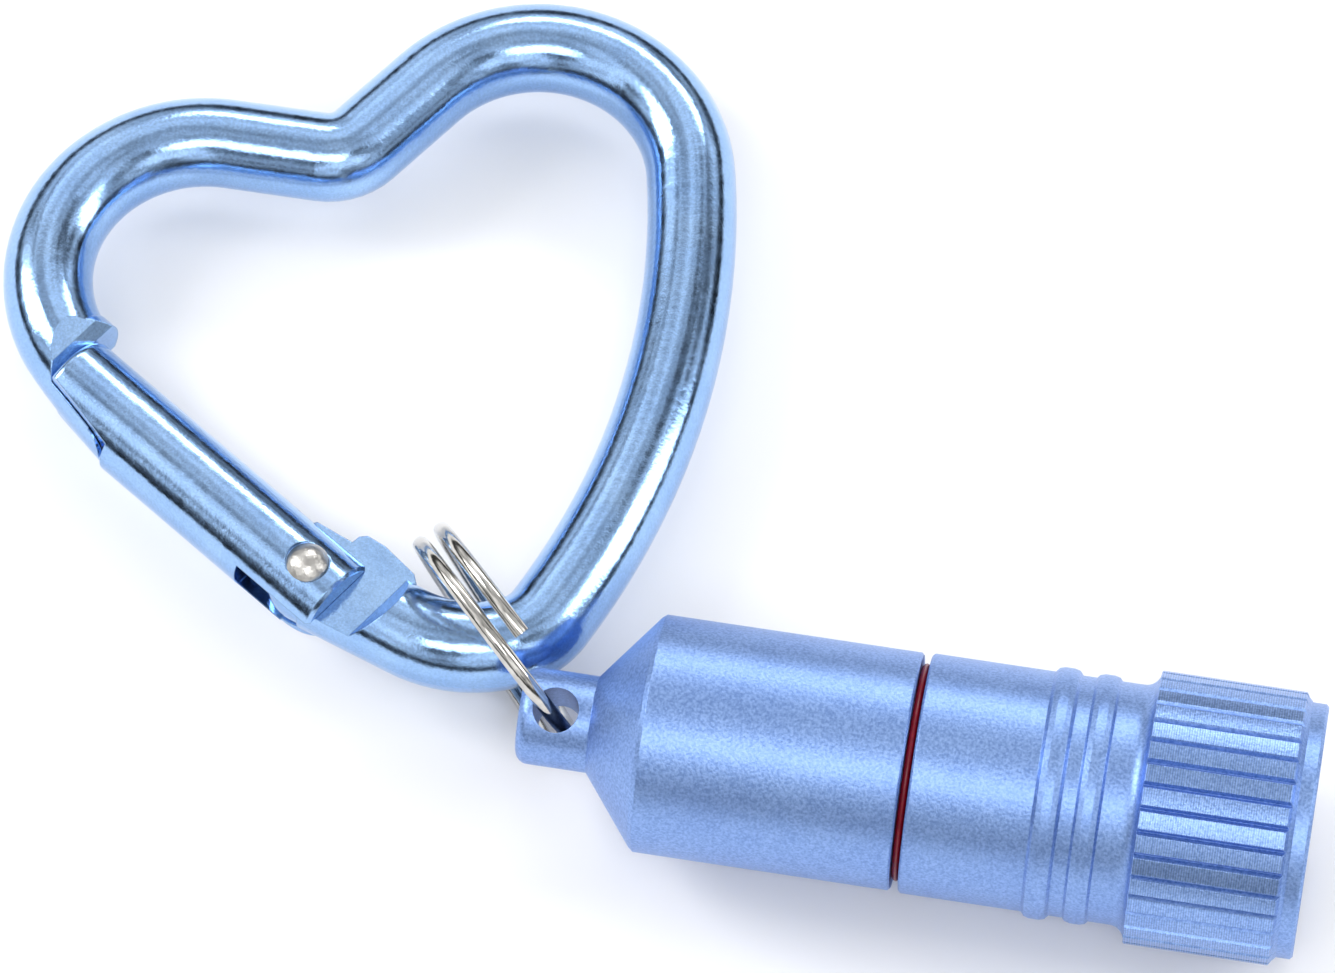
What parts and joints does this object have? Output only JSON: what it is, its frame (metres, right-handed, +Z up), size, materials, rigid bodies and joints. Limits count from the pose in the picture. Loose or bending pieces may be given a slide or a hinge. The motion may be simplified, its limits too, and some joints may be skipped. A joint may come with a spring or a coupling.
{
  "type": "keychain flashlight",
  "caption": "Twist-head button-cell torch with a fluted grip, hung by a sprung wire ring from a heart-shaped carabiner with a sprung gate.",
  "frame": {"origin": "under the middle of the whole object, at the level of the fluted grip's lowest line", "axes": "+X along the torch axis towards the lens, +Y across the torch towards the heart's lobes, +Z up through the flat of the carabiner"},
  "size_m": [0.0766, 0.0522, 0.0149],
  "materials": {
    "gloss_anodised": "glossy light-blue anodised",
    "satin_anodised": "bead-blasted periwinkle anodised",
    "nickel": "bright nickel plate",
    "steel": "drawn spring steel",
    "red_rubber": "red rubber",
    "clear_window": "clear polished",
    "black_rubber": "matte",
    "bright_reflector": "metallised",
    "lamp_resin": "clear epoxy",
    "black_plastic": "moulded",
    "tinned_wire": "tinned",
    "brass": "stamped",
    "clear_sleeve": "thin film tube",
    "cell_steel": "nickel-plated can",
    "cell_gasket": "nylon"
  },
  "bodies": {
    "carabiner": {"carabiner_body": "gloss_anodised", "gate_rivet": "nickel"},
    "gate": {"gate": "gloss_anodised", "gate_spring": "steel"},
    "plunger": {"gate_plunger": "steel"},
    "ring": {"split_ring": "nickel"},
    "barrel": {"rear_barrel": "satin_anodised", "neck_o_ring": "red_rubber", "battery_sleeve": "clear_sleeve", "tail_spring": "steel"},
    "cells": {"cell_1_can": "cell_steel", "cell_1_cap": "cell_steel", "cell_1_gasket": "cell_gasket", "cell_2_can": "cell_steel", "cell_2_cap": "cell_steel", "cell_2_gasket": "cell_gasket", "cell_3_can": "cell_steel", "cell_3_cap": "cell_steel", "cell_3_gasket": "cell_gasket", "cell_4_can": "cell_steel", "cell_4_cap": "cell_steel", "cell_4_gasket": "cell_gasket"},
    "head": {"head_shell": "satin_anodised", "lens": "clear_window", "lens_gasket": "black_rubber", "reflector": "bright_reflector", "led_lamp": "lamp_resin", "led_holder": "black_plastic", "led_anode_lead": "tinned_wire", "led_cathode_lead": "tinned_wire", "ground_ring": "brass", "anode_contact": "brass"}
  },
  "joints": [
    {"name": "gate_hinge", "type": "hinge", "parent": "carabiner", "child": "gate", "pos_m": [-0.01798, -0.01148, 0.0048], "axis": [0, 0, -1], "range_deg": [0, 38], "stiffness_Nm_per_rad": 0.004, "springref_deg": -14.32},
    {"name": "plunger_slide", "type": "slide", "parent": "gate", "child": "plunger", "axis": [-0.8329, 0.5534, 0], "range_m": [0, 0.0008], "deforming": ["gate_spring"]},
    {"name": "ring_swing", "type": "hinge", "parent": "carabiner", "child": "ring", "pos_m": [-0.00711, -0.0136, 0.0048], "axis": [0.9406, 0.3396, 0], "range_deg": [-60, 40]},
    {"name": "light_swing", "type": "hinge", "parent": "ring", "child": "barrel", "pos_m": [-0.00287, -0.01867, 0.00745], "axis": [0, -0.225, 0.9744], "range_deg": [-90, 15]},
    {"name": "cell_travel", "type": "slide", "parent": "barrel", "child": "cells", "axis": [-1, 0, 0], "range_m": [0, 0.00039583], "deforming": ["tail_spring"]},
    {"name": "head_twist", "type": "hinge", "parent": "cells", "child": "head", "pos_m": [-0.0049, -0.01867, 0.00745], "axis": [-1, 0, 0], "range_deg": [0, 190]}
  ],
  "couplings": [
    {"joint": "plunger_slide", "follows": "gate_hinge", "m_per_rad": 0.0012},
    {"joint": "head_twist", "follows": "cell_travel", "rad_per_m": 8377.6}
  ]
}
